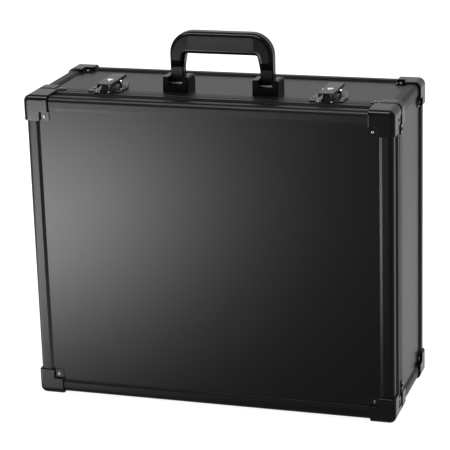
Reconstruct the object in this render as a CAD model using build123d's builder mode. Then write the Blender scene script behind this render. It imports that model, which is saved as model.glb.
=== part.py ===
"""Laptop hard case: panels in slotted extrusions, riveted corner castings, latches and a folding handle.

The case stands on its corner castings. +X is to the right, the lid faces -Y and +Z is up. The origin is
the middle of the footprint. "Depth" is measured from the lid's rail face towards the rear, and "inset"
from a side's rail face towards the inside.
"""
from build123d import *
from math import atan2, degrees
import os

os.makedirs("parts", exist_ok=True)

# Case, rail face to rail face
CASE_WIDTH = 457.0
CASE_HEIGHT = 384.0
CASE_DEPTH = 177.0
LID_DEPTH = 35.9
MOUTH_GAP = 0.6
EDGE_RADIUS = 6.0
LEAST_RADIUS = 1.0

# Panels and the slots that hold them
PANEL = 3.0
SLOT_PLAY = 0.1
SLOT_END_GAP = 0.3

# Extrusions
RAIL_WALL = 2.4
INNER_LIP = 1.4
RAIL_FACE = 16.5
RAIL_INNER_REACH = 13.0
RAIL_CORNER = 6.0
SLOPE = 3.4
SLOPE_TIP = 0.8
RAIL_BUTT_GAP = 0.2

# Mouth frames, which meet with a tongue in a groove
VALANCE_FACE = 10.7
VALANCE_SLOPE = 3.0
VALANCE_INNER_REACH = 8.0
VALANCE_WEB = 2.0
MOUTH_FACE = 18.0
MOUTH_INNER_REACH = 14.0
MOUTH_WEB = 1.6
MOUTH_EDGE = 1.2
TONGUE_INSET = 3.6
TONGUE_WIDTH = 1.6
TONGUE_HEIGHT = 2.6
TONGUE_PLAY = 0.4
TONGUE_HINGE_GAP = 14.0

# Corner castings
CAP_PROUD = 2.4
CAP_LEG = 29.5
CAP_EDGE = 6.0
CAP_END_EDGE = 1.2
CAP_SEAT = 0.1
CAP_RAIL_GAP = 0.3
CAP_SKIRT = 1.2
CAP_PAD = 1.2
CAP_MOUTH_GAP = 0.5
CAP_SIDE_PAD_START = 10.0
CAP_SIDE_PAD_END = 21.0
COLLAR_MOUTH_GAP = 3.0
COLLAR_LENGTH = 18.0
COLLAR_LEG = 24.0
COLLAR_PAD_LENGTH = 12.0
COLLAR_PAD_WIDTH = 10.5
COLLAR_PAD_RADIUS = 3.0

# Rivets
RIVET_RADIUS = 2.2
RIVET_HEIGHT = 1.1
RIVET_EDGE = 0.8

# Hinges under the bottom edge
HINGE_SPACING = 250.0
HINGE_LENGTH = 70.0
KNUCKLES = 5
KNUCKLE_RADIUS = 2.1
KNUCKLE_PLAY = 0.35
KNUCKLE_END_PLAY = 0.3
HINGE_PIN_RADIUS = 1.0
PIN_PLAY = 0.05
LEAF = 1.2
LEAF_REACH = 10.5
LEAF_TAB = 3.0

# Handle
HANDLE_DEPTH = 80.5
HANDLE_OPENING = 91.0
HANDLE_TOP = 71.6
HANDLE_FINGER_TOP = 44.3
HANDLE_CORNER = 28.0
HANDLE_INNER_CORNER = 3.0
PIVOT_HEIGHT = 6.2
GRIP_THICK = 19.0
GRIP_ROUND = 5.0
LEG_NECK_TOP = 36.0
LEG_NECK_BOTTOM = 27.0
LEG_END_WIDTH = 16.5
LEG_END_RADIUS = 7.4
LEG_MOUTH = 4.4
INLAY_LENGTH = 84.0
INLAY_HEIGHT = 17.0
INLAY_RADIUS = 4.0
INLAY_SINK = 1.4
INLAY_THICK = 0.9
HANDLE_PIN_RADIUS = 2.5
HANDLE_PIN_LENGTH = 30.0
BRACKET_SPACING = 114.0
BRACKET_WIDTH = 32.5
BRACKET_HEIGHT = 16.2
BRACKET_FRONT = 16.0
BRACKET_REAR = 16.0
BRACKET_FLOOR = 0.8
BRACKET_LEAN = 1.5
BRACKET_REAR_ROUND = 10.0
BRACKET_ROUND = 2.0
BRACKET_LEG_PLAY = 0.5
BRACKET_SILL = 5.6
BACKING_LENGTH = 180.0
BACKING_WIDTH = 28.0
BACKING_THICK = 1.3

# Latches
LATCH_SPACING = 279.0
PLATE_FRONT = 37.0
PLATE_WIDTH = 42.0
PLATE_REAR_WIDTH = 27.0
PLATE_LENGTH = 53.0
PLATE_SHOULDER = 26.0
PLATE_THICK = 1.6
PLATE_PLAY = 0.3
PLATE_CORNER = 3.0
PLATE_RIVET_REACH = 17.8
PLATE_RIVET_DEPTH = 51.0
LATCH_PIVOT_DEPTH = 70.0
LATCH_PIVOT_HEIGHT = 6.2
EAR_THICK = 1.4
EAR_RADIUS = 3.4
EAR_PLAY = 0.35
LATCH_PIN_RADIUS = 1.5
LATCH_PIN_HEAD_RADIUS = 2.7
LATCH_PIN_HEAD = 0.9
LEVER_WIDTH = 18.4
LEVER_SHEET = 1.3
LEVER_FRONT = 32.5
LEVER_REAR = 24.0
LEVER_TOP = 4.6
LEVER_FRONT_SKIRT = 5.6
LEVER_REAR_SKIRT = 3.3
LEVER_BOSS_RADIUS = 3.0
LEVER_EDGE = 0.9
CLAW_WIDTH = 8.0
CLAW_SHEET = 2.0
CLAW_FRONT_GAP = 0.8
CLAW_FOOT = 4.4
CLAW_KEEPER_GAP = 0.4
LOCK_RADIUS = 2.3
LOCK_REACH = 9.0
LOCK_STAND = 0.5
LOCK_COLLAR_RADIUS = 3.2
LOCK_COLLAR = 0.8
LOCK_COLLAR_GAP = 0.3
LOCK_EDGE = 0.2
KEYWAY_LENGTH = 3.2
KEYWAY_WIDTH = 0.9
KEYWAY_SINK = 1.2
KEEPER_WIDTH = 11.0
KEEPER_PLATE_WIDTH = 22.0
KEEPER_SHEET = 1.0
KEEPER_LIFT = 0.35
KEEPER_PLATE_REACH = 7.0
KEEPER_TONGUE_REACH = 3.0
KEEPER_LIP = 1.3
KEEPER_LIP_HEIGHT = 1.9
KEEPER_SLOT_PLAY = 1.0
KEEPER_RIVET_REACH = 8.0
SPRING_LENGTH = 7.0
SPRING_RADIUS = 2.6

# Foam
FOAM_MARGIN = 8.0
FOAM_PLAY = 0.3
LID_FOAM_THICK = 20.0
CRADLE_FRONT = 62.0
BAY_WIDTH = 366.0
BAY_HEIGHT = 276.0
BAY_SINK = 42.0
BAY_CORNER = 6.0
THUMB_RADIUS = 24.0

# Places worked out from the sizes above
FRONT_Y = -CASE_DEPTH / 2
BOTTOM_Z = CAP_PROUD
TOP_Z = BOTTOM_Z + CASE_HEIGHT
MID_Z = BOTTOM_Z + CASE_HEIGHT / 2
SLOT_LIP = RAIL_WALL + PANEL + SLOT_PLAY
RAIL_CORE = SLOT_LIP + INNER_LIP
MOUTH_DEPTH = LID_DEPTH + MOUTH_GAP
GROOVE_SINK = TONGUE_HEIGHT + MOUTH_GAP
MOUTH_SLOT_ROOT = GROOVE_SINK + MOUTH_WEB
HINGE_Y = FRONT_Y + LID_DEPTH + MOUTH_GAP / 2
WALL_TOP_Z = TOP_Z - RAIL_WALL
CAP_INNER = RAIL_FACE + CAP_RAIL_GAP
PAD_START = CAP_INNER + CAP_SKIRT
PAD_MIDDLE = (PAD_START + CAP_LEG) / 2
COLLAR_START = MOUTH_DEPTH + COLLAR_MOUTH_GAP
HANDLE_Y = FRONT_Y + HANDLE_DEPTH
HANDLE_WIDTH = BRACKET_SPACING + LEG_END_WIDTH
PIVOT_Z = TOP_Z + PIVOT_HEIGHT
LATCH_Y = FRONT_Y + LATCH_PIVOT_DEPTH
LATCH_Z = TOP_Z + LATCH_PIVOT_HEIGHT
EAR_INNER = LEVER_WIDTH / 2 + EAR_PLAY
KEEPER_TOP = KEEPER_LIFT + KEEPER_SHEET
KEEPER_TIP = MOUTH_DEPTH + KEEPER_TONGUE_REACH
FAR = CASE_WIDTH + CASE_HEIGHT
ROUND_HALF = 1 - 0.5**0.5

OUTWARD = {
    "top": Vector(0, 0, 1),
    "bottom": Vector(0, 0, -1),
    "left": Vector(-1, 0, 0),
    "right": Vector(1, 0, 0),
}
SIGN = {"left": -1, "right": 1, "bottom": -1, "top": 1}
PAIR = ("left", "right")


def save(builder, label):
    """Name a finished sub-part and write it as its own STEP file."""
    builder.part.label = label
    export_step(builder.part, f"parts/{label}.step")


def outline_plane(depth, normal=-1):
    """Plane across the case at a depth, facing the front, or the rear when its normal is 1."""
    return Plane(origin=(0, FRONT_Y + depth, MID_Z), x_dir=(-normal, 0, 0), z_dir=(0, normal, 0))


def section_plane(side, depth, towards):
    """Plane of a side's section: x runs inwards from the rail face, y runs along +Y or -Y."""
    outward = OUTWARD[side]
    reach = CASE_HEIGHT / 2 if outward.Z else CASE_WIDTH / 2
    origin = Vector(0, FRONT_Y + depth, MID_Z) + outward * reach
    return Plane(origin=origin, x_dir=-outward, z_dir=(-outward).cross(Vector(0, towards, 0)))


def case_outline(inset, mode=Mode.ADD):
    """Rounded outline of the case, moved in by an inset."""
    width, height = CASE_WIDTH - 2 * inset, CASE_HEIGHT - 2 * inset
    RectangleRounded(width, height, max(EDGE_RADIUS - inset, LEAST_RADIUS), mode=mode)


def case_ring(outer, inner, mode=Mode.ADD):
    """Rounded ring between two insets."""
    with BuildSketch(mode=Mode.PRIVATE) as ring:
        case_outline(outer)
        case_outline(inner, Mode.SUBTRACT)
    add(ring.sketch, mode=mode)


def corner_square(near, far, mode=Mode.ADD):
    """Square at the top right corner, between two insets from its rail faces."""
    middle = (near + far) / 2
    with Locations((CASE_WIDTH / 2 - middle, CASE_HEIGHT / 2 - middle)):
        Rectangle(far - near, far - near, mode=mode)


def frame_section():
    """Angle extrusion with a rounded outer corner, sloped edges and a panel slot in each leg."""
    leg = (
        (RAIL_FACE - SLOPE, 0),
        (RAIL_FACE, RAIL_WALL - SLOPE_TIP),
        (RAIL_FACE, RAIL_WALL),
        (RAIL_CORE, RAIL_WALL),
        (RAIL_CORE, SLOT_LIP),
        (RAIL_INNER_REACH, SLOT_LIP),
        (RAIL_INNER_REACH, RAIL_CORE),
    )
    other_leg = [(y, x) for x, y in reversed(leg)]
    middle = RAIL_CORNER * ROUND_HALF
    with BuildLine() as line:
        Polyline((RAIL_CORNER, 0), *leg, (RAIL_CORE, RAIL_CORE), *other_leg, (0, RAIL_CORNER))
        ThreePointArc((0, RAIL_CORNER), (middle, middle), (RAIL_CORNER, 0))
    make_face(line.line)


def edge_section():
    """Angle with a large outer radius and sloped edges, of one wall thickness."""
    round_out = EDGE_RADIUS * ROUND_HALF
    round_in = RAIL_WALL + (EDGE_RADIUS - RAIL_WALL) * ROUND_HALF
    leg = (
        (EDGE_RADIUS, 0),
        (RAIL_FACE - SLOPE, 0),
        (RAIL_FACE, RAIL_WALL - SLOPE_TIP),
        (RAIL_FACE, RAIL_WALL),
        (EDGE_RADIUS, RAIL_WALL),
    )
    with BuildLine() as line:
        Polyline(*leg)
        ThreePointArc((EDGE_RADIUS, RAIL_WALL), (round_in, round_in), (RAIL_WALL, EDGE_RADIUS))
        Polyline(*[(y, x) for x, y in reversed(leg)])
        ThreePointArc((0, EDGE_RADIUS), (round_out, round_out), (EDGE_RADIUS, 0))
    make_face(line.line)


def mitred_share(side, inset):
    """One side's share of the case outline, cut at 45 degrees where it meets its neighbours."""
    out = OUTWARD[side]
    reach, half = CASE_WIDTH / 2, CASE_HEIGHT / 2
    if out.Z:
        reach, half = half, reach
    along = Vector(out.Z, 0, out.X)
    depth = min(reach, half) / 2
    ends = [out * reach + along * half, out * reach - along * half]
    ends += [out * (reach - depth) - along * (half - depth), out * (reach - depth) + along * (half - depth)]
    with BuildLine() as line:
        Polyline(*[(end.X, end.Z) for end in ends], close=True)
    make_face(line.line)
    case_outline(inset, Mode.INTERSECT)


def frame_rail(side, depth, towards, label):
    """One mitred extrusion of the lid's or the rear's frame, with its inner lips cut back at the corners."""
    with BuildPart() as rail:
        with BuildSketch(section_plane(side, depth, towards)):
            frame_section()
        extrude(amount=CASE_WIDTH / 2, both=True)
        with BuildSketch(outline_plane(depth)):
            mitred_share(side, 0)
        extrude(amount=RAIL_FACE, both=True, mode=Mode.INTERSECT)
        with BuildSketch(outline_plane(depth + towards * RAIL_CORE, towards)):
            room_end = max(EDGE_RADIUS, SLOT_LIP + LEAST_RADIUS)
            middle = (room_end + RAIL_WALL) / 2
            with GridLocations(CASE_WIDTH - 2 * middle, CASE_HEIGHT - 2 * middle, 2, 2):
                Rectangle(room_end - RAIL_WALL, room_end - RAIL_WALL)
        extrude(amount=RAIL_FACE, mode=Mode.SUBTRACT)
    save(rail, f"{label}_{side}")


def base_wall(side):
    """One wall panel of the base, from the mouth frame's slot to the rear frame's."""
    start = MOUTH_DEPTH + MOUTH_SLOT_ROOT + SLOT_END_GAP
    length = CASE_DEPTH - RAIL_CORE - SLOT_END_GAP - start
    with BuildPart() as wall:
        with BuildSketch(section_plane(side, start, 1)):
            with Locations((RAIL_WALL + PANEL / 2, length / 2)):
                Rectangle(PANEL, length)
        extrude(amount=CASE_WIDTH / 2, both=True)
        with BuildSketch(outline_plane(start)):
            mitred_share(side, RAIL_WALL)
        extrude(amount=length, both=True, mode=Mode.INTERSECT)
    save(wall, f"base_wall_{side}")


def mouth_frame(depth, towards, face, slope, inner_reach, slot_root, tongue, label):
    """Bent extrusion round the mouth of the lid or the base; towards is 1 from the mouth to the rear.

    Its channel takes the edges of the walls, its outer lip is sloped, and its mouth has the tongue or
    the groove on the three sides away from the hinges.
    """
    def plane(reach):
        return outline_plane(depth + towards * reach, towards)

    slope_angle = degrees(atan2(RAIL_WALL - SLOPE_TIP, slope))
    with BuildPart() as frame:
        with BuildSketch(plane(0)):
            case_outline(0)
        extrude(amount=face - slope)
        fillet(frame.faces().sort_by(Axis.Y)[0 if towards == 1 else -1].edges(), MOUTH_EDGE)
        with BuildSketch(plane(face - slope)):
            case_outline(0)
        extrude(amount=slope, taper=slope_angle)
        with BuildSketch(plane(slot_root)):
            case_ring(RAIL_WALL, SLOT_LIP)
        extrude(amount=face, mode=Mode.SUBTRACT)
        with BuildSketch(plane(0)):
            case_outline(RAIL_CORE)
        extrude(amount=face, mode=Mode.SUBTRACT)
        with BuildSketch(plane(inner_reach)):
            case_outline(RAIL_WALL)
        extrude(amount=face, mode=Mode.SUBTRACT)
        play = 0 if tongue else TONGUE_PLAY
        with BuildSketch(plane(0)):
            case_ring(TONGUE_INSET - play, TONGUE_INSET + TONGUE_WIDTH + play)
            with Locations((0, -CASE_HEIGHT / 2)):
                Rectangle(CASE_WIDTH, 2 * TONGUE_HINGE_GAP, mode=Mode.SUBTRACT)
        if tongue:
            extrude(amount=-TONGUE_HEIGHT)
        else:
            extrude(amount=GROOVE_SINK, mode=Mode.SUBTRACT)
        with Locations(*hinge_places()):
            Cylinder(
                KNUCKLE_RADIUS + KNUCKLE_PLAY, HINGE_LENGTH + 2 * KNUCKLE_END_PLAY, mode=Mode.SUBTRACT
            )
    save(frame, label)


def flat_panel(depth, label):
    """The lid's or the rear's panel, with its edges in the frame's slots."""
    with BuildPart() as panel:
        with BuildSketch(outline_plane(depth, 1)):
            case_outline(RAIL_CORE + SLOT_END_GAP)
        extrude(amount=PANEL)
    save(panel, label)


def lid_band():
    """The lid's side band, bent round the four corners between its frame and its mouth."""
    start = RAIL_CORE + SLOT_END_GAP
    with BuildPart() as band:
        with BuildSketch(outline_plane(start, 1)):
            case_ring(RAIL_WALL, RAIL_WALL + PANEL)
        extrude(amount=LID_DEPTH - VALANCE_WEB - SLOT_END_GAP - start)
    save(band, "lid_band")


def edge_rail(level, side):
    """One long edge extrusion of the base, from the mouth frame to the rear frame."""
    start = MOUTH_DEPTH + MOUTH_FACE + RAIL_BUTT_GAP
    end = CASE_DEPTH - RAIL_FACE - RAIL_BUTT_GAP
    corner = (SIGN[side] * CASE_WIDTH / 2, FRONT_Y + (start + end) / 2, MID_Z + SIGN[level] * CASE_HEIGHT / 2)
    inward_x, inward_z = Vector(-SIGN[side], 0, 0), Vector(0, 0, -SIGN[level])
    with BuildPart() as rail:
        with BuildSketch(Plane(origin=corner, x_dir=inward_x, z_dir=inward_x.cross(inward_z))):
            edge_section()
        extrude(amount=(end - start) / 2, both=True)
    save(rail, f"edge_rail_{level}_{side}")


def save_corners(corner, label):
    """Write the top right corner piece and its mirror images at the other three corners."""
    for level in ("top", "bottom"):
        for side in PAIR:
            with BuildPart() as copy:
                add(corner.part)
                if side == "left":
                    mirror(about=Plane.YZ, mode=Mode.REPLACE)
                if level == "bottom":
                    mirror(about=Plane.XY.offset(MID_Z), mode=Mode.REPLACE)
            save(copy, f"{label}_{level}_{side}")


def soften_leg_ends(corner, radius):
    """Round the ends of a corner piece's legs along X and Z, but not the edge inside the case."""
    x_end = corner.faces().sort_by(Axis.X)[0].edges().sort_by(Axis.Z)[1:]
    z_end = corner.faces().sort_by(Axis.Z)[0].edges().sort_by(Axis.X)[1:]
    fillet(x_end + z_end, radius)


def lid_corner():
    """Casting over a corner of the lid, with a riveted pad on the panel and one on the side."""
    with BuildPart() as cap:
        with BuildSketch(outline_plane(-CAP_PROUD, 1)):
            case_outline(-CAP_PROUD)
        extrude(amount=CAP_PROUD + LID_DEPTH - CAP_MOUTH_GAP)
        fillet(cap.faces().sort_by(Axis.Y)[0].edges(), CAP_EDGE)
        fillet(cap.faces().sort_by(Axis.Y)[-1].edges(), CAP_END_EDGE)
        with BuildSketch(outline_plane(0)):
            corner_square(-CAP_PROUD, CAP_LEG)
        extrude(amount=CASE_DEPTH, both=True, mode=Mode.INTERSECT)
        soften_leg_ends(cap, CAP_END_EDGE)
        with BuildSketch(outline_plane(-CAP_SEAT)):
            case_outline(-CAP_SEAT)
            corner_square(CAP_INNER, FAR, mode=Mode.SUBTRACT)
        extrude(amount=-CASE_DEPTH, mode=Mode.SUBTRACT)
        with BuildSketch(outline_plane(RAIL_WALL - CAP_SEAT)):
            corner_square(CAP_INNER, FAR)
        extrude(amount=-CASE_DEPTH, mode=Mode.SUBTRACT)
        with BuildSketch(outline_plane(RAIL_WALL - CAP_PAD)):
            corner_square(PAD_START, FAR)
        extrude(amount=CASE_DEPTH, mode=Mode.SUBTRACT)
        with BuildSketch(Plane.YZ.offset(CASE_WIDTH / 2 + CAP_PAD)):
            with Locations((FRONT_Y + PAD_START, TOP_Z - CAP_SIDE_PAD_START)):
                Rectangle(LID_DEPTH, FAR, align=(Align.MIN, Align.MAX))
        extrude(amount=CAP_PROUD, mode=Mode.SUBTRACT)
        with BuildSketch(Plane.YZ.offset(CASE_WIDTH / 2)):
            with Locations((FRONT_Y + PAD_START, TOP_Z - CAP_SIDE_PAD_END)):
                Rectangle(LID_DEPTH, FAR, align=(Align.MIN, Align.MAX))
        extrude(amount=CAP_PROUD, both=True, mode=Mode.SUBTRACT)
    save_corners(cap, "lid_corner")


def rear_corner():
    """Casting over a rear corner, with a riveted pad on each of the three panels it meets."""
    pad_inset = RAIL_WALL - CAP_PAD
    with BuildPart() as cap:
        with BuildSketch(outline_plane(CASE_DEPTH + CAP_PROUD)):
            case_outline(-CAP_PROUD)
        extrude(amount=CAP_PROUD + CAP_LEG)
        fillet(cap.faces().sort_by(Axis.Y)[-1].edges(), CAP_EDGE)
        fillet(cap.faces().sort_by(Axis.Y)[0].edges(), CAP_END_EDGE)
        with BuildSketch(outline_plane(CASE_DEPTH)):
            corner_square(-CAP_PROUD, CAP_LEG)
        extrude(amount=CASE_DEPTH, both=True, mode=Mode.INTERSECT)
        soften_leg_ends(cap, CAP_END_EDGE)
        with BuildSketch(outline_plane(CASE_DEPTH + CAP_SEAT)):
            case_outline(-CAP_SEAT)
            corner_square(CAP_INNER, FAR, mode=Mode.SUBTRACT)
        extrude(amount=CAP_SEAT + CAP_INNER, mode=Mode.SUBTRACT)
        with BuildSketch(outline_plane(CASE_DEPTH + CAP_SEAT)):
            case_outline(-CAP_SEAT)
            corner_square(-CAP_PROUD, CAP_INNER, mode=Mode.INTERSECT)
        extrude(amount=CASE_DEPTH, mode=Mode.SUBTRACT)
        with BuildSketch(outline_plane(CASE_DEPTH - RAIL_WALL + CAP_SEAT)):
            case_outline(RAIL_WALL - CAP_SEAT)
        extrude(amount=CASE_DEPTH, mode=Mode.SUBTRACT)
        with BuildSketch(outline_plane(CASE_DEPTH - pad_inset)):
            corner_square(PAD_START, FAR)
        extrude(amount=-CAP_LEG, mode=Mode.SUBTRACT)
        with BuildSketch(outline_plane(CASE_DEPTH - PAD_START)):
            case_ring(-CAP_PROUD - CAP_SEAT, pad_inset)
            corner_square(-FAR, PAD_START, mode=Mode.SUBTRACT)
        extrude(amount=CASE_DEPTH, mode=Mode.SUBTRACT)
    save_corners(cap, "rear_corner")


def base_corner():
    """Corner piece behind the mouth, with a riveted pad on each of the two sides it joins."""
    pad_middle = COLLAR_LEG + (COLLAR_PAD_LENGTH - COLLAR_PAD_RADIUS) / 2
    pad_y = FRONT_Y + COLLAR_START + COLLAR_PAD_WIDTH / 2
    with BuildPart() as collar:
        with BuildSketch(outline_plane(COLLAR_START, 1)):
            case_outline(-CAP_PROUD)
        extrude(amount=COLLAR_LENGTH)
        fillet(collar.faces().sort_by(Axis.Y)[0].edges(), CAP_END_EDGE)
        fillet(collar.faces().sort_by(Axis.Y)[-1].edges(), CAP_END_EDGE)
        with BuildSketch(outline_plane(0)):
            corner_square(-CAP_PROUD, COLLAR_LEG)
        extrude(amount=CASE_DEPTH, both=True, mode=Mode.INTERSECT)
        soften_leg_ends(collar, CAP_END_EDGE)
        with BuildSketch(Plane.XY.offset(TOP_Z)):
            with Locations((CASE_WIDTH / 2 - pad_middle, pad_y)):
                RectangleRounded(COLLAR_PAD_LENGTH + COLLAR_PAD_RADIUS, COLLAR_PAD_WIDTH, COLLAR_PAD_RADIUS)
        extrude(amount=CAP_PAD)
        with BuildSketch(Plane.YZ.offset(CASE_WIDTH / 2)):
            with Locations((pad_y, TOP_Z - pad_middle)):
                RectangleRounded(COLLAR_PAD_WIDTH, COLLAR_PAD_LENGTH + COLLAR_PAD_RADIUS, COLLAR_PAD_RADIUS)
        extrude(amount=CAP_PAD)
        with BuildSketch(outline_plane(0)):
            case_outline(-CAP_SEAT)
        extrude(amount=-CASE_DEPTH, mode=Mode.SUBTRACT)
    save_corners(collar, "base_corner")


def rivet_group(label, spots, radius=RIVET_RADIUS, height=RIVET_HEIGHT):
    """Rivet heads with rounded rims, each seated on the surface at its spot and facing along its z."""
    with BuildPart() as head:
        Cylinder(radius, height, align=(Align.CENTER, Align.CENTER, Align.MIN))
        fillet(head.faces().sort_by(Axis.Z)[-1].edges(), height * RIVET_EDGE)
    with BuildPart() as group:
        with Locations(*spots):
            add(head.part)
    save(group, label)


def corner_spots(inset_x, inset_z, depth, turns):
    """The same place at the four corners; turns gives the heading for each side."""
    x, z = CASE_WIDTH / 2 - inset_x, CASE_HEIGHT / 2 - inset_z
    return [
        Location((SIGN[side] * x, FRONT_Y + depth, MID_Z + SIGN[level] * z), turns(level, side))
        for level in ("top", "bottom")
        for side in PAIR
    ]


def facing_front(level, side):
    """Heading of a rivet in the front."""
    return (90, 0, 0)


def facing_rear(level, side):
    """Heading of a rivet in the rear."""
    return (-90, 0, 0)


def facing_side(level, side):
    """Heading of a rivet in the left or the right side."""
    return (0, 90 * SIGN[side], 0)


def facing_up_or_down(level, side):
    """Heading of a rivet in the top or the bottom."""
    return (0 if level == "top" else 180, 0, 0)


def lid_rivets():
    """Rivets through the lid castings' pads and the keepers' plates."""
    panel_pad = RAIL_WALL - CAP_PAD
    side_middle = (CAP_SIDE_PAD_START + CAP_SIDE_PAD_END) / 2
    spots = corner_spots(PAD_MIDDLE, PAD_MIDDLE, panel_pad, facing_front)
    spots += corner_spots(-CAP_PAD, side_middle, (PAD_START + LID_DEPTH) / 2, facing_side)
    for side in PAIR:
        for sign in (-1, 1):
            x = SIGN[side] * LATCH_SPACING / 2 + sign * KEEPER_RIVET_REACH
            y = FRONT_Y + LID_DEPTH - KEEPER_PLATE_REACH / 2
            spots.append(Location((x, y, TOP_Z + KEEPER_TOP)))
    rivet_group("lid_rivets", spots)


def base_rivets():
    """Rivets through the base castings' pads, the corner pieces' pads and the latch plates."""
    panel_pad = RAIL_WALL - CAP_PAD
    side_depth = CASE_DEPTH - PAD_MIDDLE
    collar_reach = COLLAR_LEG + COLLAR_PAD_LENGTH / 2
    collar_depth = COLLAR_START + COLLAR_PAD_WIDTH / 2
    spots = corner_spots(PAD_MIDDLE, PAD_MIDDLE, CASE_DEPTH - panel_pad, facing_rear)
    spots += corner_spots(panel_pad, PAD_MIDDLE, side_depth, facing_side)
    spots += corner_spots(PAD_MIDDLE, panel_pad, side_depth, facing_up_or_down)
    spots += corner_spots(-CAP_PAD, collar_reach, collar_depth, facing_side)
    spots += corner_spots(collar_reach, -CAP_PAD, collar_depth, facing_up_or_down)
    for side in PAIR:
        for sign in (-1, 1):
            x = SIGN[side] * LATCH_SPACING / 2 + sign * PLATE_RIVET_REACH
            spots.append(Location((x, FRONT_Y + PLATE_RIVET_DEPTH, TOP_Z + PLATE_THICK)))
    rivet_group("base_rivets", spots)


def hinge_places():
    """The two hinges' middles, turned so that z runs along the hinge axis."""
    return [Location((SIGN[side] * HINGE_SPACING / 2, HINGE_Y, BOTTOM_Z), (0, 90, 0)) for side in PAIR]


def hinge_leaf(side, owner):
    """Leaf of a butt hinge with its share of the knuckles; the lid's run on the pin, the base's hold it."""
    towards, first, play = (-1, 1, PIN_PLAY) if owner == "lid" else (1, 0, 0)
    middle_x = SIGN[side] * HINGE_SPACING / 2
    pitch = HINGE_LENGTH / KNUCKLES
    align = (Align.CENTER, Align.MIN if towards == 1 else Align.MAX, Align.MAX)
    with BuildPart() as leaf:
        with Locations((middle_x, HINGE_Y, BOTTOM_Z)):
            Box(HINGE_LENGTH, LEAF_REACH, LEAF, align=align)
        with Locations(*hinge_places()):
            Cylinder(KNUCKLE_RADIUS + KNUCKLE_PLAY, HINGE_LENGTH, mode=Mode.SUBTRACT)
        for index in range(first, KNUCKLES, 2):
            x = middle_x + pitch * (index + 0.5) - HINGE_LENGTH / 2
            with Locations((x, HINGE_Y, BOTTOM_Z)):
                Box(pitch - KNUCKLE_END_PLAY, LEAF_TAB, LEAF, align=align)
            with Locations(Location((x, HINGE_Y, BOTTOM_Z), (0, 90, 0))):
                Cylinder(KNUCKLE_RADIUS, pitch - KNUCKLE_END_PLAY)
        with Locations(*hinge_places()):
            Cylinder(HINGE_PIN_RADIUS + play, HINGE_LENGTH, mode=Mode.SUBTRACT)
    save(leaf, f"hinge_leaf_{owner}_{side}")


def hinge_pins():
    """The two hinge pins."""
    with BuildPart() as pins:
        with Locations(*hinge_places()):
            Cylinder(HINGE_PIN_RADIUS, HINGE_LENGTH)
    save(pins, "hinge_pins")


def handle_places():
    """The handle's two pivots, turned so that z runs along the pivot axis."""
    return [Location((SIGN[side] * BRACKET_SPACING / 2, HANDLE_Y, PIVOT_Z), (0, 90, 0)) for side in PAIR]


def handle_grip():
    """Moulded U-shaped handle: a deep grip bar and two legs that end in hooks round the pins."""
    front = Plane(origin=(0, HANDLE_Y, TOP_Z), x_dir=(1, 0, 0), z_dir=(0, -1, 0))
    rise = HANDLE_TOP - PIVOT_HEIGHT
    bar_middle = (HANDLE_TOP + HANDLE_FINGER_TOP) / 2
    leg_inner = (BRACKET_SPACING - LEG_END_WIDTH) / 2
    with BuildPart() as grip:
        with BuildSketch(mode=Mode.PRIVATE) as opening:
            with BuildLine():
                Polyline(
                    (-HANDLE_OPENING / 2, HANDLE_FINGER_TOP),
                    (HANDLE_OPENING / 2, HANDLE_FINGER_TOP),
                    (leg_inner, LEG_NECK_BOTTOM),
                    (leg_inner, -HANDLE_FINGER_TOP),
                    (-leg_inner, -HANDLE_FINGER_TOP),
                    (-leg_inner, LEG_NECK_BOTTOM),
                    close=True,
                )
            make_face()
            fillet(opening.vertices().sort_by(Axis.Y)[2:4], LEG_NECK_TOP)
            fillet(opening.vertices().sort_by(Axis.Y)[-2:], HANDLE_INNER_CORNER)
        with BuildSketch(front):
            with Locations((0, PIVOT_HEIGHT)):
                RectangleRounded(HANDLE_WIDTH, 2 * rise, HANDLE_CORNER)
            add(opening.sketch, mode=Mode.SUBTRACT)
            with Locations((0, -GRIP_THICK)):
                Rectangle(FAR, FAR, align=(Align.CENTER, Align.MAX), mode=Mode.SUBTRACT)
        extrude(amount=GRIP_THICK / 2, both=True)
        fillet(grip.faces().sort_by(Axis.Y)[0].edges() + grip.faces().sort_by(Axis.Y)[-1].edges(), GRIP_ROUND)
        with BuildSketch(Plane.YZ):
            with BuildLine():
                Polyline(
                    (HANDLE_Y - LEG_END_RADIUS, PIVOT_Z),
                    (HANDLE_Y - LEG_END_RADIUS, TOP_Z + LEG_NECK_BOTTOM),
                    (HANDLE_Y - GRIP_THICK / 2, TOP_Z + LEG_NECK_TOP),
                    (HANDLE_Y - GRIP_THICK / 2, TOP_Z + HANDLE_TOP),
                    (HANDLE_Y + GRIP_THICK / 2, TOP_Z + HANDLE_TOP),
                    (HANDLE_Y + GRIP_THICK / 2, TOP_Z + LEG_NECK_TOP),
                    (HANDLE_Y + LEG_END_RADIUS, TOP_Z + LEG_NECK_BOTTOM),
                    (HANDLE_Y + LEG_END_RADIUS, PIVOT_Z),
                    close=True,
                )
            make_face()
            with Locations((HANDLE_Y, PIVOT_Z)):
                Circle(LEG_END_RADIUS)
                Rectangle(
                    GRIP_THICK, LEG_MOUTH, align=(Align.MAX, Align.CENTER), mode=Mode.SUBTRACT
                )
        extrude(amount=HANDLE_WIDTH, both=True, mode=Mode.INTERSECT)
        for sign in (-1, 1):
            with BuildSketch(front.offset(sign * GRIP_THICK / 2)):
                with Locations((0, bar_middle)):
                    RectangleRounded(INLAY_LENGTH, INLAY_HEIGHT, INLAY_RADIUS)
            extrude(amount=INLAY_SINK, both=True, mode=Mode.SUBTRACT)
        with Locations(*handle_places()):
            Cylinder(HANDLE_PIN_RADIUS + PIN_PLAY, BRACKET_WIDTH, mode=Mode.SUBTRACT)
    save(grip, "handle_grip")


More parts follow.
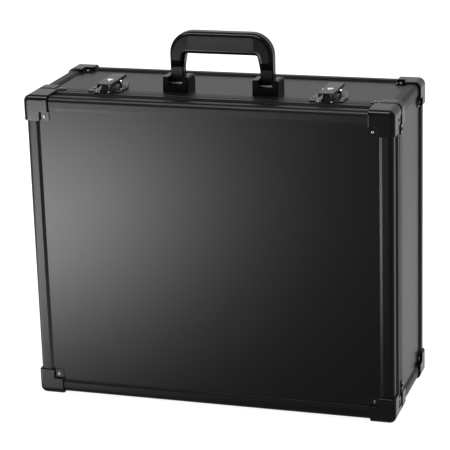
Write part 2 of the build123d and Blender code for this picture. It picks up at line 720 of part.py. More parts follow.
def handle_inlays():
    """Flat grip inlays sunk in the front and the rear of the handle's bar."""
    bar_middle = (HANDLE_TOP + HANDLE_FINGER_TOP) / 2
    with BuildPart() as inlays:
        for sign in (-1, 1):
            seat = HANDLE_Y + sign * (GRIP_THICK / 2 - INLAY_SINK)
            plane = Plane(origin=(0, seat, TOP_Z + bar_middle), x_dir=(-sign, 0, 0), z_dir=(0, sign, 0))
            with BuildSketch(plane):
                RectangleRounded(INLAY_LENGTH, INLAY_HEIGHT, INLAY_RADIUS)
            extrude(amount=INLAY_THICK)
    save(inlays, "handle_inlays")


def handle_pins():
    """The two pins on which the handle folds."""
    with BuildPart() as pins:
        with Locations(*handle_places()):
            Cylinder(HANDLE_PIN_RADIUS, HANDLE_PIN_LENGTH)
    save(pins, "handle_pins")


def handle_bracket(side):
    """Moulded handle bracket: two cheeks, a floor and a low front wall, open towards the rear."""
    middle = SIGN[side] * BRACKET_SPACING / 2
    leg_room = LEG_END_WIDTH / 2 + BRACKET_LEG_PLAY
    front, rear = HANDLE_Y - BRACKET_FRONT, HANDLE_Y + BRACKET_REAR
    with BuildPart() as bracket:
        with BuildSketch(Plane.YZ.offset(middle)) as profile:
            with BuildLine():
                Polyline(
                    (front, WALL_TOP_Z),
                    (front + BRACKET_LEAN, TOP_Z + BRACKET_HEIGHT),
                    (rear, TOP_Z + BRACKET_HEIGHT),
                    (rear, WALL_TOP_Z),
                    close=True,
                )
            make_face()
            fillet(profile.vertices().group_by(Axis.Y)[-1].sort_by(Axis.X)[-1:], BRACKET_REAR_ROUND)
        extrude(amount=BRACKET_WIDTH / 2, both=True)
        left_rim = bracket.faces().sort_by(Axis.X)[0].edges().sort_by(Axis.Z)[1:]
        right_rim = bracket.faces().sort_by(Axis.X)[-1].edges().sort_by(Axis.Z)[1:]
        fillet(left_rim + right_rim, BRACKET_ROUND)
        with BuildSketch(Plane.XY.offset(WALL_TOP_Z + BRACKET_FLOOR)):
            with Locations((middle, HANDLE_Y - LEG_END_RADIUS - BRACKET_LEG_PLAY)):
                Rectangle(2 * leg_room, CASE_DEPTH, align=(Align.CENTER, Align.MIN))
        extrude(amount=CASE_DEPTH, mode=Mode.SUBTRACT)
        with BuildSketch(Plane.XY.offset(TOP_Z + BRACKET_SILL)):
            with Locations((middle, HANDLE_Y)):
                Rectangle(2 * leg_room, CASE_DEPTH)
        extrude(amount=CASE_DEPTH, mode=Mode.SUBTRACT)
        with Locations(*handle_places()):
            Cylinder(HANDLE_PIN_RADIUS, HANDLE_PIN_LENGTH, mode=Mode.SUBTRACT)
    save(bracket, f"handle_bracket_{side}")


def handle_backing():
    """Plate under the top wall that spreads the handle's load."""
    with BuildPart() as backing:
        with Locations((0, HANDLE_Y, WALL_TOP_Z - PANEL)):
            Box(BACKING_LENGTH, BACKING_WIDTH, BACKING_THICK, align=(Align.CENTER, Align.CENTER, Align.MAX))
    save(backing, "handle_backing")


def latch_plate(side):
    """Latch base plate, stepped down behind the mouth frame, with two ears and a slot for the keeper."""
    middle = SIGN[side] * LATCH_SPACING / 2
    front = FRONT_Y + PLATE_FRONT
    with BuildPart() as plate:
        with BuildSketch(Plane.XY.offset(WALL_TOP_Z)) as foot:
            with BuildLine():
                Polyline(
                    (middle - PLATE_WIDTH / 2, front),
                    (middle + PLATE_WIDTH / 2, front),
                    (middle + PLATE_WIDTH / 2, front + PLATE_SHOULDER),
                    (middle + PLATE_REAR_WIDTH / 2, front + PLATE_LENGTH),
                    (middle - PLATE_REAR_WIDTH / 2, front + PLATE_LENGTH),
                    (middle - PLATE_WIDTH / 2, front + PLATE_SHOULDER),
                    close=True,
                )
            make_face()
            fillet(foot.vertices(), PLATE_CORNER)
        extrude(amount=RAIL_WALL + PLATE_THICK)
        with BuildSketch(Plane.XY.offset(WALL_TOP_Z)):
            with Locations((middle, FRONT_Y + MOUTH_DEPTH + MOUTH_FACE + PLATE_PLAY)):
                Rectangle(FAR, FAR, align=(Align.CENTER, Align.MAX))
        extrude(amount=RAIL_WALL, mode=Mode.SUBTRACT)
        with BuildSketch(Plane.XY.offset(TOP_Z)):
            with Locations((middle, FRONT_Y + KEEPER_TIP + KEEPER_SLOT_PLAY)):
                Rectangle(KEEPER_WIDTH + 2 * KEEPER_SLOT_PLAY, CASE_DEPTH, align=(Align.CENTER, Align.MAX))
        extrude(amount=PLATE_THICK, mode=Mode.SUBTRACT)
        for sign in (-1, 1):
            with BuildSketch(Plane.YZ.offset(middle + sign * EAR_INNER)):
                with Locations((LATCH_Y, LATCH_Z)):
                    Circle(EAR_RADIUS)
                    Rectangle(2 * EAR_RADIUS, LATCH_PIVOT_HEIGHT, align=(Align.CENTER, Align.MAX))
            extrude(amount=sign * EAR_THICK)
        with Locations(Location((middle, LATCH_Y, LATCH_Z), (0, 90, 0))):
            Cylinder(LATCH_PIN_RADIUS, PLATE_WIDTH, mode=Mode.SUBTRACT)
    save(plate, f"latch_plate_{side}")


def latch_lever(side):
    """Pressed channel lever that rocks on its pin, with a bore for the lock in its top."""
    middle = SIGN[side] * LATCH_SPACING / 2
    plane = Plane(origin=(middle, LATCH_Y, LATCH_Z), x_dir=(0, 1, 0), z_dir=(1, 0, 0))
    ceiling = LEVER_TOP - LEVER_SHEET
    with BuildPart() as lever:
        with BuildSketch(plane):
            with BuildLine():
                Polyline(
                    (-LEVER_FRONT, LEVER_TOP),
                    (-LEVER_FRONT, LEVER_TOP - LEVER_FRONT_SKIRT),
                    (0, LEVER_TOP - LEVER_FRONT_SKIRT),
                    (LEVER_REAR, LEVER_TOP - LEVER_REAR_SKIRT),
                    (LEVER_REAR, LEVER_TOP),
                    close=True,
                )
            make_face()
            Circle(LEVER_BOSS_RADIUS)
        extrude(amount=LEVER_WIDTH / 2, both=True)
        fillet(lever.faces().sort_by(Axis.Z)[-1].edges(), LEVER_EDGE)
        with BuildSketch(plane):
            with Locations((LEVER_REAR - LEVER_SHEET, ceiling)):
                Rectangle(FAR, LEVER_WIDTH, align=(Align.MAX, Align.MAX))
        extrude(amount=LEVER_WIDTH / 2 - LEVER_SHEET, both=True, mode=Mode.SUBTRACT)
        with Locations(Location((middle, LATCH_Y, LATCH_Z), (0, 90, 0))):
            Cylinder(LATCH_PIN_RADIUS + PIN_PLAY, PLATE_WIDTH, mode=Mode.SUBTRACT)
        with Locations((middle, LATCH_Y - LOCK_REACH, LATCH_Z + LEVER_TOP)):
            Cylinder(LOCK_RADIUS + PIN_PLAY, 3 * LEVER_SHEET, mode=Mode.SUBTRACT)
    save(lever, f"latch_lever_{side}")


def latch_claw(side):
    """Hook under the lever's front end, reaching forward over the keeper's lip."""
    middle = SIGN[side] * LATCH_SPACING / 2
    front = FRONT_Y + LATCH_PIVOT_DEPTH - LEVER_FRONT + CLAW_FRONT_GAP
    ceiling = LATCH_Z + LEVER_TOP - LEVER_SHEET
    foot = TOP_Z + KEEPER_TOP + KEEPER_LIP_HEIGHT + CLAW_KEEPER_GAP
    with BuildPart() as claw:
        with BuildSketch(Plane.YZ.offset(middle)):
            with BuildLine():
                Polyline(
                    (front, foot),
                    (front + CLAW_FOOT, foot),
                    (front + CLAW_FOOT, ceiling),
                    (front + CLAW_FOOT - CLAW_SHEET, ceiling),
                    (front + CLAW_FOOT - CLAW_SHEET, foot + CLAW_SHEET),
                    (front, foot + CLAW_SHEET),
                    close=True,
                )
            make_face()
        extrude(amount=CLAW_WIDTH / 2, both=True)
    save(claw, f"latch_claw_{side}")


def latch_lock(side):
    """Key lock cylinder through the lever's top, kept in by a collar below and slotted for the key."""
    middle = SIGN[side] * LATCH_SPACING / 2
    top = LATCH_Z + LEVER_TOP + LOCK_STAND
    collar = LATCH_Z + LEVER_TOP - LEVER_SHEET - LOCK_COLLAR_GAP
    upwards = (Align.CENTER, Align.CENTER, Align.MIN)
    with BuildPart() as lock:
        with Locations((middle, LATCH_Y - LOCK_REACH, collar - LOCK_COLLAR)):
            Cylinder(LOCK_RADIUS, top - collar + LOCK_COLLAR, align=upwards)
            fillet(lock.faces().sort_by(Axis.Z)[-1].edges(), LOCK_EDGE)
            Cylinder(LOCK_COLLAR_RADIUS, LOCK_COLLAR, align=upwards)
        with Locations((middle, LATCH_Y - LOCK_REACH, top)):
            Box(KEYWAY_WIDTH, KEYWAY_LENGTH, 2 * KEYWAY_SINK, mode=Mode.SUBTRACT)
    save(lock, f"latch_lock_{side}")


def latch_places():
    """The two latches' pivots, turned so that z runs along the pivot axis."""
    return [Location((SIGN[side] * LATCH_SPACING / 2, LATCH_Y, LATCH_Z), (0, 90, 0)) for side in PAIR]


def latch_pins():
    """The two headed pins on which the levers rock."""
    length = 2 * (EAR_INNER + EAR_THICK)
    with BuildPart() as pins:
        with Locations(*latch_places()):
            Cylinder(LATCH_PIN_RADIUS, length)
            Cylinder(LATCH_PIN_HEAD_RADIUS, length + 2 * LATCH_PIN_HEAD)
            Cylinder(LATCH_PIN_HEAD_RADIUS, length, mode=Mode.SUBTRACT)
            Cylinder(LATCH_PIN_RADIUS, length)
    save(pins, "latch_pins")


def latch_springs():
    """The return springs coiled on the latch pins, under the levers."""
    with BuildPart() as springs:
        with Locations(*latch_places()):
            Cylinder(SPRING_RADIUS, SPRING_LENGTH)
            Cylinder(LATCH_PIN_RADIUS, SPRING_LENGTH, mode=Mode.SUBTRACT)
    save(springs, "latch_springs")


def latch_keeper(side):
    """Keeper on the lid: a riveted plate and a raised tongue over the base, ending in an upright lip."""
    middle = SIGN[side] * LATCH_SPACING / 2
    start = FRONT_Y + LID_DEPTH - KEEPER_PLATE_REACH
    edge, tip = FRONT_Y + LID_DEPTH, FRONT_Y + KEEPER_TIP
    with BuildPart() as keeper:
        with BuildSketch(Plane.XY.offset(TOP_Z)):
            with Locations((middle, (start + edge) / 2)):
                RectangleRounded(KEEPER_PLATE_WIDTH, edge - start, KEEPER_LIP)
        extrude(amount=KEEPER_TOP)
        with BuildSketch(Plane.YZ.offset(middle)):
            with BuildLine():
                Polyline(
                    (start + KEEPER_LIP, TOP_Z + KEEPER_LIFT),
                    (tip, TOP_Z + KEEPER_LIFT),
                    (tip, TOP_Z + KEEPER_TOP + KEEPER_LIP_HEIGHT),
                    (tip - KEEPER_LIP, TOP_Z + KEEPER_TOP + KEEPER_LIP_HEIGHT),
                    (tip - KEEPER_LIP, TOP_Z + KEEPER_TOP),
                    (start + KEEPER_LIP, TOP_Z + KEEPER_TOP),
                    close=True,
                )
            make_face()
        extrude(amount=KEEPER_WIDTH / 2, both=True)
    save(keeper, f"latch_keeper_{side}")


def lid_foam():
    """Foam pad that fills the lid."""
    with BuildPart() as foam:
        with BuildSketch(outline_plane(RAIL_CORE + FOAM_PLAY, 1)):
            case_outline(FOAM_MARGIN)
        extrude(amount=LID_FOAM_THICK)
    save(foam, "lid_foam")


def base_foam():
    """Foam block in the base with a bay for the laptop and finger rooms at both ends of the bay."""
    with BuildPart() as foam:
        with BuildSketch(outline_plane(CRADLE_FRONT, 1)):
            case_outline(FOAM_MARGIN)
        extrude(amount=CASE_DEPTH - RAIL_CORE - FOAM_PLAY - CRADLE_FRONT)
        with BuildSketch(outline_plane(CRADLE_FRONT, 1)):
            RectangleRounded(BAY_WIDTH, BAY_HEIGHT, BAY_CORNER)
            with Locations((-BAY_WIDTH / 2, 0), (BAY_WIDTH / 2, 0)):
                Circle(THUMB_RADIUS)
        extrude(amount=BAY_SINK, mode=Mode.SUBTRACT)
    save(foam, "base_foam")


if __name__ == "__main__":
    for name in OUTWARD:
        frame_rail(name, 0, 1, "lid_rail")
        frame_rail(name, CASE_DEPTH, -1, "rear_rail")
        base_wall(name)
    mouth_frame(
        LID_DEPTH, -1, VALANCE_FACE, VALANCE_SLOPE, VALANCE_INNER_REACH, VALANCE_WEB, True, "lid_mouth_frame"
    )
    mouth_frame(
        MOUTH_DEPTH, 1, MOUTH_FACE, SLOPE, MOUTH_INNER_REACH, MOUTH_SLOT_ROOT, False, "base_mouth_frame"
    )
    flat_panel(RAIL_WALL, "lid_panel")
    flat_panel(CASE_DEPTH - RAIL_WALL - PANEL, "rear_panel")
    lid_band()
    lid_corner()
    rear_corner()
    base_corner()
    lid_rivets()
    base_rivets()
    hinge_pins()
    handle_grip()
    handle_inlays()
    handle_pins()
    handle_backing()
    latch_pins()
    latch_springs()
    lid_foam()
    base_foam()
    for name in PAIR:
        edge_rail("top", name)
        edge_rail("bottom", name)
        hinge_leaf(name, "lid")
        hinge_leaf(name, "base")
        handle_bracket(name)
        latch_plate(name)
        latch_lever(name)
        latch_claw(name)
        latch_lock(name)
        latch_keeper(name)
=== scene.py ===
"""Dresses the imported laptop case: finishes for its CAD nodes, rivets, springs, foam, studio and camera."""

import math

import bmesh
import bpy
from bpy.props import FloatProperty, FloatVectorProperty, IntProperty, PointerProperty
from mathutils import Matrix, Vector


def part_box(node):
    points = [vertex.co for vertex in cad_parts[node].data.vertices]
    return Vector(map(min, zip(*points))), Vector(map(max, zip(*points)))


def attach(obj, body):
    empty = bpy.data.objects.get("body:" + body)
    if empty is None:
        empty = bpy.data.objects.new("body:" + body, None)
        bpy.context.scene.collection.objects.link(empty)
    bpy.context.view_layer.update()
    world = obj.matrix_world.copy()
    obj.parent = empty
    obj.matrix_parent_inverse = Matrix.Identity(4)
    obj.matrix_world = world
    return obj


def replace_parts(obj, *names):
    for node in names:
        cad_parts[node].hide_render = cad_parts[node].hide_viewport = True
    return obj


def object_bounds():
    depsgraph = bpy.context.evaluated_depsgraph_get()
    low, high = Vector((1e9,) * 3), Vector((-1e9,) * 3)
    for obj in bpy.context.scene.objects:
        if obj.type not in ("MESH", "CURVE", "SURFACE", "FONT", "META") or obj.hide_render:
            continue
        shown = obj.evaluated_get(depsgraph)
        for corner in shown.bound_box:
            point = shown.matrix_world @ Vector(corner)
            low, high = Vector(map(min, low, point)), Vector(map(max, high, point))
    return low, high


bl_info = {
    "name": "Laptop Case Dressing",
    "version": (1, 0, 0),
    "blender": (4, 5, 0),
    "location": "View3D > Sidebar > Laptop Case",
    "description": "Finishes, rivets, springs, foam and studio for a laptop hard case",
    "category": "Object",
}

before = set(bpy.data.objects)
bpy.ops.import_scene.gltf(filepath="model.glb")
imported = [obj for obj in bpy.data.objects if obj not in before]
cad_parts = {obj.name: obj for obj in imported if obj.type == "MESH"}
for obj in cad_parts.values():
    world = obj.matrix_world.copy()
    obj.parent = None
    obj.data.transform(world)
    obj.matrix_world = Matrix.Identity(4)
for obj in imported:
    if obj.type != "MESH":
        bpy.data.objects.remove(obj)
CAD_BOX = [list(corner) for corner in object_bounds()]
MM = 0.001
SIDES = ("left", "right")


# Shader expressions


class Value:
    """A socket's value. Arithmetic on it adds Math nodes to its tree."""

    def __init__(self, nodes, socket):
        self.nodes = nodes
        self.socket = socket

    def __add__(self, other):
        return self.nodes.math("ADD", self, other)

    def __sub__(self, other):
        return self.nodes.math("SUBTRACT", self, other)

    def __mul__(self, other):
        return self.nodes.math("MULTIPLY", self, other)

    def __truediv__(self, other):
        return self.nodes.math("DIVIDE", self, other)

    def __gt__(self, other):
        return self.nodes.math("GREATER_THAN", self, other)

    def __radd__(self, other):
        return self.nodes.math("ADD", other, self)

    def __rsub__(self, other):
        return self.nodes.math("SUBTRACT", other, self)

    def __rmul__(self, other):
        return self.nodes.math("MULTIPLY", other, self)

    def __rtruediv__(self, other):
        return self.nodes.math("DIVIDE", other, self)


class Nodes:
    """A material's or world's tree, whose nodes are made one by one and joined by expressions."""

    def __init__(self, tree):
        self.tree = tree
        self.tree.nodes.clear()

    def node(self, kind, settings=None, inputs=None, output=0):
        """Makes a node: its settings first, then its sockets' values or links. Returns one output."""
        made = self.tree.nodes.new(kind)
        for key, value in (settings or {}).items():
            setattr(made, key, value)
        for key, value in (inputs or {}).items():
            if isinstance(value, Value):
                self.tree.links.new(value.socket, made.inputs[key])
            else:
                made.inputs[key].default_value = value
        return Value(self, made.outputs[output]) if len(made.outputs) else made

    def math(self, operation, *values):
        """A Math node on numbers and values."""
        return self.node("ShaderNodeMath", {"operation": operation}, dict(enumerate(values)))

    def clamp(self, value):
        """Keeps a value between 0 and 1."""
        return self.math("MINIMUM", self.math("MAXIMUM", value, 0.0), 1.0)

    def place(self, stretch=(1.0, 1.0, 1.0)):
        """The point on the object in metres, stretched along an axis to draw a grain out."""
        coords = self.node("ShaderNodeTexCoord", output="Object")
        if stretch == (1.0, 1.0, 1.0):
            return coords
        return self.node("ShaderNodeVectorMath", {"operation": "MULTIPLY"}, {0: coords, 1: stretch})

    def noise(self, scale, detail=2.0, rough=0.5, where=None):
        """Noise from 0 to 1; scale is how many times it changes in a metre."""
        inputs = {"Vector": where or self.place(), "Scale": scale, "Detail": detail, "Roughness": rough}
        return self.node("ShaderNodeTexNoise", None, inputs, "Fac")

    def cells(self, scale):
        """Distance to the middles of round cells, for pebbles and pores."""
        return self.node("ShaderNodeTexVoronoi", None, {"Vector": self.place(), "Scale": scale}, "Distance")

    def mix(self, factor, first, second):
        """Colour mix."""
        first, second = (value if isinstance(value, Value) else (*value, 1.0) for value in (first, second))
        return self.node("ShaderNodeMix", {"data_type": "RGBA"}, {0: factor, 6: first, 7: second}, 2)

    def bump(self, height, depth, strength):
        """Normal for a relief; depth is in metres."""
        return self.node("ShaderNodeBump", None, {"Height": height, "Distance": depth, "Strength": strength})

    def rims(self, width):
        """1 along convex rims, fading over a width, for wear and rubbed edges."""
        bevel = self.node("ShaderNodeBevel", {"samples": 4}, {"Radius": width})
        true = self.node("ShaderNodeNewGeometry", output="Normal")
        match = self.node("ShaderNodeVectorMath", {"operation": "DOT_PRODUCT"}, {0: bevel, 1: true}, "Value")
        return self.clamp((1.0 - match) * 6.0)

    def background_rays(self):
        """1 for the rays that show the background: from the camera, reflected and transmitted."""
        shows = self.node("ShaderNodeLightPath", output="Is Camera Ray")
        for ray in ("Is Glossy Ray", "Is Transmission Ray"):
            shows = self.math("MAXIMUM", shows, self.node("ShaderNodeLightPath", output=ray))
        return shows


class Finish(Nodes):
    """A new material's nodes."""

    def __init__(self, name):
        self.material = bpy.data.materials.new(name)
        self.material.use_nodes = True
        super().__init__(self.material.node_tree)

    def surface(self, colour, roughness, **sockets):
        """Closes the finish with a Principled surface."""
        inputs = {"Roughness": roughness, "Base Color": colour}
        inputs.update({key.replace("_", " "): value for key, value in sockets.items()})
        if not isinstance(colour, Value):
            inputs["Base Color"] = (*colour, 1.0)
        shader = self.node("ShaderNodeBsdfPrincipled", None, inputs)
        self.node("ShaderNodeOutputMaterial", None, {"Surface": shader})
        return self.material


# Finishes


def shade(colour, factor):
    """A lighter or darker tone of a colour."""
    return tuple(channel * factor for channel in colour)


def laminate_finish(colour):
    """Textured black laminate: a fine pebble, faint clouding and a few rubbed specks."""
    finish = Finish("laminate_black")
    clouds = finish.noise(9.0, detail=3.0)
    pebble = finish.cells(900.0)
    grain = finish.noise(2600.0, detail=2.0)
    specks = finish.noise(420.0, detail=1.0) > 0.73
    tone = finish.mix(clouds, shade(colour, 0.86), shade(colour, 1.16))
    tone = finish.mix(specks * 0.2, tone, shade(colour, 1.7))
    rough = 0.22 + clouds * 0.04 + grain * 0.03
    normal = finish.bump(pebble * 0.7 + grain * 0.3, depth=0.00005, strength=0.35)
    return finish.surface(tone, rough, Normal=normal, Specular_IOR_Level=0.045)


def extrusion_finish(name, colour, stretch):
    """Satin black anodised aluminium with fine die lines along the extrusion."""
    finish = Finish(name)
    lines = finish.noise(900.0, detail=3.0, rough=0.6, where=finish.place(stretch))
    clouds = finish.noise(14.0, detail=2.0)
    wear = finish.rims(0.0006) * (0.4 + finish.noise(160.0, detail=2.0) * 0.8)
    tone = finish.mix(lines, shade(colour, 0.8), shade(colour, 1.25))
    tone = finish.mix(wear * 0.45, tone, (0.22, 0.22, 0.21))
    rough = 0.28 + lines * 0.1 + clouds * 0.05
    normal = finish.bump(lines, depth=0.00003, strength=0.5)
    return finish.surface(tone, rough, Normal=normal, Specular_IOR_Level=0.045)


def casting_finish(colour):
    """Gloss black powder coat: a faint orange peel, rubbed a little along its rims."""
    finish = Finish("casting_black")
    peel = finish.noise(520.0, detail=2.0)
    wear = finish.rims(0.0008) * (finish.noise(240.0, detail=2.0) > 0.55)
    tone = finish.mix(wear * 0.5, colour, (0.2, 0.2, 0.2))
    rough = 0.14 + peel * 0.06
    normal = finish.bump(peel, depth=0.00008, strength=0.5)
    return finish.surface(tone, rough, Normal=normal, Specular_IOR_Level=0.06)


def enamel_finish(colour):
    """Semi-gloss black enamel on pressed steel."""
    finish = Finish("latch_black")
    peel = finish.noise(800.0, detail=2.0)
    wear = finish.rims(0.0004) * (finish.noise(400.0, detail=2.0) > 0.5)
    tone = finish.mix(wear * 0.6, colour, (0.3, 0.3, 0.29))
    rough = 0.2 + peel * 0.08
    normal = finish.bump(peel, depth=0.00004, strength=0.5)
    return finish.surface(tone, rough, Normal=normal, Specular_IOR_Level=0.1)


def moulding_finish(colour):
    """Semi-gloss black moulding with a very fine spark-eroded grain."""
    finish = Finish("handle_black")
    grain = finish.noise(1800.0, detail=2.0)
    clouds = finish.noise(30.0, detail=2.0)
    tone = finish.mix(clouds, shade(colour, 0.85), shade(colour, 1.2))
    rough = 0.12 + grain * 0.05 + clouds * 0.04
    normal = finish.bump(grain, depth=0.00003, strength=0.5)
    return finish.surface(tone, rough, Normal=normal, Specular_IOR_Level=0.05)


def inlay_finish(colour):
    """Matt grey grip inlay with a pebbled grain, painted darker in its hollows as painted shade."""
    finish = Finish("inlay_grey")
    pebble = finish.cells(700.0)
    # Painted shade: each pebble cell is darker towards its middle, where the bump sinks it.
    tone = finish.mix(pebble, shade(colour, 0.8), shade(colour, 1.2))
    rough = 0.55 + pebble * 0.1
    normal = finish.bump(pebble, depth=0.00012, strength=0.7)
    return finish.surface(tone, rough, Normal=normal, Specular_IOR_Level=0.05)


def steel_finish(name, colour, rough, metallic=1.0):
    """Plated steel with faint brushing and dulled patches."""
    finish = Finish(name)
    patches = finish.noise(90.0, detail=3.0)
    brush = finish.noise(2200.0, detail=2.0, rough=0.5, where=finish.place((0.05, 1.0, 1.0)))
    tone = finish.mix(patches, shade(colour, 0.85), shade(colour, 1.08))
    rough = rough + patches * 0.1
    normal = finish.bump(brush, depth=0.00002, strength=0.4)
    return finish.surface(tone, rough, Metallic=metallic, Normal=normal)


def foam_finish(colour):
    """Open-cell foam: small round pores with painted shade darkening their middles, and a slight mottling."""
    finish = Finish("foam_grey")
    pores = finish.cells(620.0)
    fine = finish.noise(2400.0, detail=3.0)
    clouds = finish.noise(22.0, detail=2.0)
    # Painted shade: each pore is darker towards its middle, where the bump sinks it.
    tone = finish.mix(pores, shade(colour, 0.6), shade(colour, 1.3))
    tone = finish.mix(clouds * 0.3, tone, shade(colour, 1.5))
    normal = finish.bump(pores * 0.7 + fine * 0.3, depth=0.0006, strength=0.8)
    return finish.surface(tone, 0.95, Normal=normal, Sheen_Weight=0.15)


def dress(node, material):
    """Gives a CAD node a finish and keeps its shape."""
    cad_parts[node].data.materials.clear()
    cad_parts[node].data.materials.append(material)


def nodes_of(*starts):
    """Names of the CAD nodes that start with one of these."""
    return [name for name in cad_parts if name.startswith(starts)]


# Mesh helpers


def piece_from(name, mesh, material, body, smooth=True):
    """Turns a bmesh into a piece that rides on a body and takes its finish from a slot."""
    data = bpy.data.meshes.new(name)
    mesh.normal_update()
    mesh.to_mesh(data)
    mesh.free()
    piece = bpy.data.objects.new(name, data)
    bpy.context.scene.collection.objects.link(piece)
    data.materials.append(material)
    if smooth:
        data.shade_smooth()
    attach(piece, body)
    return piece


def bridge_rings(mesh, rings, close_first=True, close_last=True):
    """Joins rings of points into one skin and closes its ends."""
    loops = [[mesh.verts.new(point) for point in ring] for ring in rings]
    count = len(loops[0])
    for lower, upper in zip(loops, loops[1:]):
        for i in range(count):
            j = (i + 1) % count
            mesh.faces.new((lower[i], lower[j], upper[j], upper[i]))
    if close_first:
        mesh.faces.new(list(reversed(loops[0])))
    if close_last:
        mesh.faces.new(loops[-1])


def turned_rings(profile, matrix, steps):
    """Rings of a turned form, from its (radius, height) profile, placed by a matrix."""
    rings = []
    for radius, height in profile:
        ring = []
        for i in range(steps):
            turn = 2 * math.pi * i / steps
            ring.append(matrix @ Vector((radius * math.cos(turn), radius * math.sin(turn), height)))
        rings.append(ring)
    return rings


def solids_of(node):
    """The boxes of a node's separate solids, each as its lowest and highest corner."""
    mesh = bmesh.new()
    mesh.from_mesh(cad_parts[node].data)
    bmesh.ops.remove_doubles(mesh, verts=mesh.verts, dist=1e-6)
    boxes, seen = [], set()
    for start in mesh.verts:
        if start in seen:
            continue
        group, stack = [], [start]
        seen.add(start)
        while stack:
            vert = stack.pop()
            group.append(vert.co.copy())
            for edge in vert.link_edges:
                other = edge.other_vert(vert)
                if other not in seen:
                    seen.add(other)
                    stack.append(other)
        low = Vector([min(point[i] for point in group) for i in range(3)])
        high = Vector([max(point[i] for point in group) for i in range(3)])
        boxes.append((low, high))
    mesh.free()
    return boxes


# Settings


COLOUR = {"subtype": "COLOR", "size": 3, "min": 0, "max": 1}


class CaseColours(bpy.types.PropertyGroup):
    """Base colours of the case's finishes."""

    laminate: FloatVectorProperty(
        name="Laminate",
        description="Colour of the panels",
        default=(0.004, 0.004, 0.0042),
        **COLOUR,
    )
    extrusion: FloatVectorProperty(
        name="Extrusions",
        description="Colour of the anodised rails",
        default=(0.0035, 0.0033, 0.003),
        **COLOUR,
    )
    casting: FloatVectorProperty(
        name="Castings",
        description="Colour of the corner castings",
        default=(0.003, 0.003, 0.0031),
        **COLOUR,
    )
    handle: FloatVectorProperty(
        name="Handle",
        description="Colour of the handle and its brackets",
        default=(0.002, 0.002, 0.0021),
        **COLOUR,
    )
    inlay: FloatVectorProperty(
        name="Inlay",
        description="Colour of the grip inlays",
        default=(0.012, 0.012, 0.0125),
        **COLOUR,
    )
    latch: FloatVectorProperty(
        name="Latches",
        description="Colour of the latch enamel",
        default=(0.005, 0.005, 0.0053),
        **COLOUR,
    )
    foam: FloatVectorProperty(
        name="Foam",
        description="Colour of the foam",
        default=(0.05, 0.05, 0.053),
        **COLOUR,
    )


class CaseSizes(bpy.types.PropertyGroup):
    """Sizes of the pieces that the dressing adds."""

    rivet_steps: IntProperty(
        name="Rivet steps", description="Facets round a rivet", default=20, min=8, max=64
    )
    spring_turns: IntProperty(
        name="Spring turns", description="Coils of a latch spring", default=7, min=3, max=14
    )
    spring_wire: FloatProperty(
        name="Spring wire", description="Thickness of the spring wire", default=0.8 * MM, min=0, unit="LENGTH"
    )
    foam_pitch: FloatProperty(
        name="Foam pitch",
        description="Distance between the lid foam's peaks",
        default=26 * MM,
        min=5 * MM,
        unit="LENGTH",
    )
    foam_depth: FloatProperty(
        name="Foam depth", description="Height of the lid foam's peaks", default=9 * MM, min=0, unit="LENGTH"
    )


class StudioSettings(bpy.types.PropertyGroup):
    """Light levels of the studio."""

    level: FloatProperty(name="Level", description="Share of the lights' full power", default=1.0, min=0)
    ambient: FloatProperty(
        name="Ambient", description="Strength of the even light", default=0.42, min=0, max=2
    )


# Operators


class CASE_OT_panels(bpy.types.Operator):
    """Gives the panels, the lid's band and the base's walls their laminate"""

    bl_idname = "laptop_case.panels"
    bl_label = "Panels"

    def execute(self, context):
        material = laminate_finish(tuple(context.scene.case_colours.laminate))
        for node in nodes_of("lid_panel", "rear_panel", "lid_band", "base_wall"):
            dress(node, material)
        return {"FINISHED"}


class CASE_OT_extrusions(bpy.types.Operator):
    """Gives each extrusion die lines along its own length"""

    bl_idname = "laptop_case.extrusions"
    bl_label = "Extrusions"

    def execute(self, context):
        colour = tuple(context.scene.case_colours.extrusion)
        along_x = extrusion_finish("extrusion_black_x", colour, (0.03, 1.0, 1.0))
        along_y = extrusion_finish("extrusion_black_y", colour, (1.0, 0.03, 1.0))
        along_z = extrusion_finish("extrusion_black_z", colour, (1.0, 1.0, 0.03))
        bent = extrusion_finish("extrusion_black_bent", colour, (0.2, 1.0, 0.2))
        for node in nodes_of("lid_rail", "rear_rail"):
            dress(node, along_z if node.endswith(SIDES) else along_x)
        for node in nodes_of("edge_rail"):
            dress(node, along_y)
        for node in ("lid_mouth_frame", "base_mouth_frame"):
            dress(node, bent)
        return {"FINISHED"}


class CASE_OT_castings(bpy.types.Operator):
    """Gives the corner castings their gloss coat"""

    bl_idname = "laptop_case.castings"
    bl_label = "Corner castings"

    def execute(self, context):
        material = casting_finish(tuple(context.scene.case_colours.casting))
        for node in nodes_of("lid_corner", "base_corner", "rear_corner"):
            dress(node, material)
        return {"FINISHED"}


# A rivet head from its hollow middle to its seat, as shares of its radius and of its height.
RIVET_PROFILE = (
    (0.12, 0.42),
    (0.3, 0.46),
    (0.37, 0.8),
    (0.46, 0.97),
    (0.6, 1.0),
    (0.78, 0.9),
    (0.92, 0.66),
    (1.0, 0.3),
    (1.0, 0.0),
)


